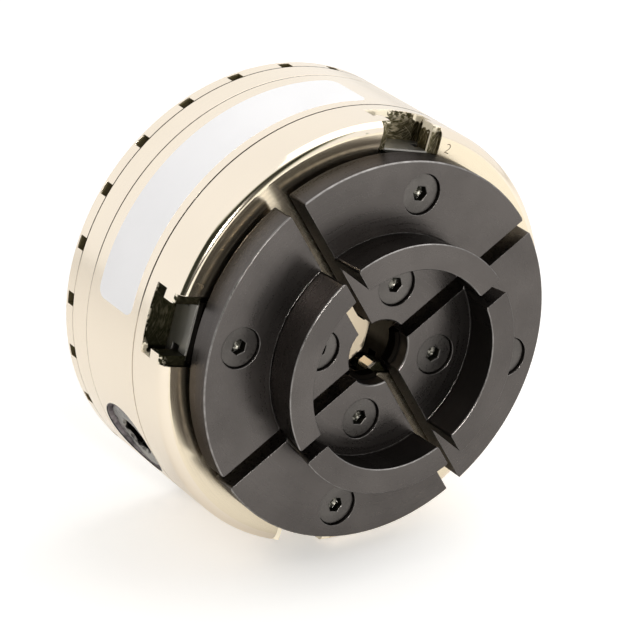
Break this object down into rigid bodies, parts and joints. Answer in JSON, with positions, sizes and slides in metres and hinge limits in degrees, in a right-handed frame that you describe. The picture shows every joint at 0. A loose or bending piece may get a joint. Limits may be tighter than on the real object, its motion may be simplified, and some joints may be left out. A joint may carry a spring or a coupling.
{
  "type": "four-jaw scroll chuck",
  "caption": "Woodturning lathe chuck with crossed T-slots, scroll-driven slides and dovetail grip jaws, turned by a hexagon key.",
  "frame": {"origin": "centre of the rear face, on the spindle axis", "axes": "+Z along the spindle axis toward the jaws, +X along jaw 1, +Y along jaw 2"},
  "size_m": [0.125, 0.125, 0.0756],
  "materials": {
    "plated_steel": "turned steel with a warm bright nickel plate",
    "jaw_black": "black oxide, satin",
    "screw_black": "black oxide, oiled",
    "gear_steel": "dark heat-treated steel",
    "turned_steel": "plain turned steel"
  },
  "bodies": {
    "chuck_body": {"front_body": "plated_steel", "back_plate": "plated_steel", "index_ring": "plated_steel", "plate_screws": "screw_black", "spindle_insert": "turned_steel", "insert_lock_screw": "screw_black", "pinion_pin": "gear_steel"},
    "scroll": {"scroll_ring": "gear_steel"},
    "pinion": {"drive_pinion": "gear_steel"},
    "jaw_1": {"jaw_slide_1": "jaw_black", "top_jaw_1": "jaw_black", "jaw_screws_1": "screw_black"},
    "jaw_2": {"jaw_slide_2": "jaw_black", "top_jaw_2": "jaw_black", "jaw_screws_2": "screw_black"},
    "jaw_3": {"jaw_slide_3": "jaw_black", "top_jaw_3": "jaw_black", "jaw_screws_3": "screw_black"},
    "jaw_4": {"jaw_slide_4": "jaw_black", "top_jaw_4": "jaw_black", "jaw_screws_4": "screw_black"}
  },
  "joints": [
    {"name": "scroll_spin", "type": "hinge", "parent": "chuck_body", "child": "scroll", "pos_m": [0, 0, 0.038], "axis": [0, 0, 1], "range_deg": [-479.5, 179.5]},
    {"name": "pinion_spin", "type": "hinge", "parent": "chuck_body", "child": "pinion", "pos_m": [-0.03657, -0.0341, 0.0254], "axis": [-0.7314, -0.682, 0], "range_deg": [-1080, 2880]},
    {"name": "jaw_1_slide", "type": "slide", "parent": "chuck_body", "child": "jaw_1", "axis": [1, 0, 0], "range_m": [-0.003, 0.008]},
    {"name": "jaw_2_slide", "type": "slide", "parent": "chuck_body", "child": "jaw_2", "axis": [0, 1, 0], "range_m": [-0.003, 0.008]},
    {"name": "jaw_3_slide", "type": "slide", "parent": "chuck_body", "child": "jaw_3", "axis": [-1, 0, 0], "range_m": [-0.003, 0.008]},
    {"name": "jaw_4_slide", "type": "slide", "parent": "chuck_body", "child": "jaw_4", "axis": [0, -1, 0], "range_m": [-0.003, 0.008]}
  ],
  "couplings": [
    {"joint": "pinion_spin", "follows": "scroll_spin", "ratio": -6},
    {"joint": "jaw_1_slide", "follows": "scroll_spin", "m_per_rad": -0.00095493},
    {"joint": "jaw_2_slide", "follows": "scroll_spin", "m_per_rad": -0.00095493},
    {"joint": "jaw_3_slide", "follows": "scroll_spin", "m_per_rad": -0.00095493},
    {"joint": "jaw_4_slide", "follows": "scroll_spin", "m_per_rad": -0.00095493}
  ]
}
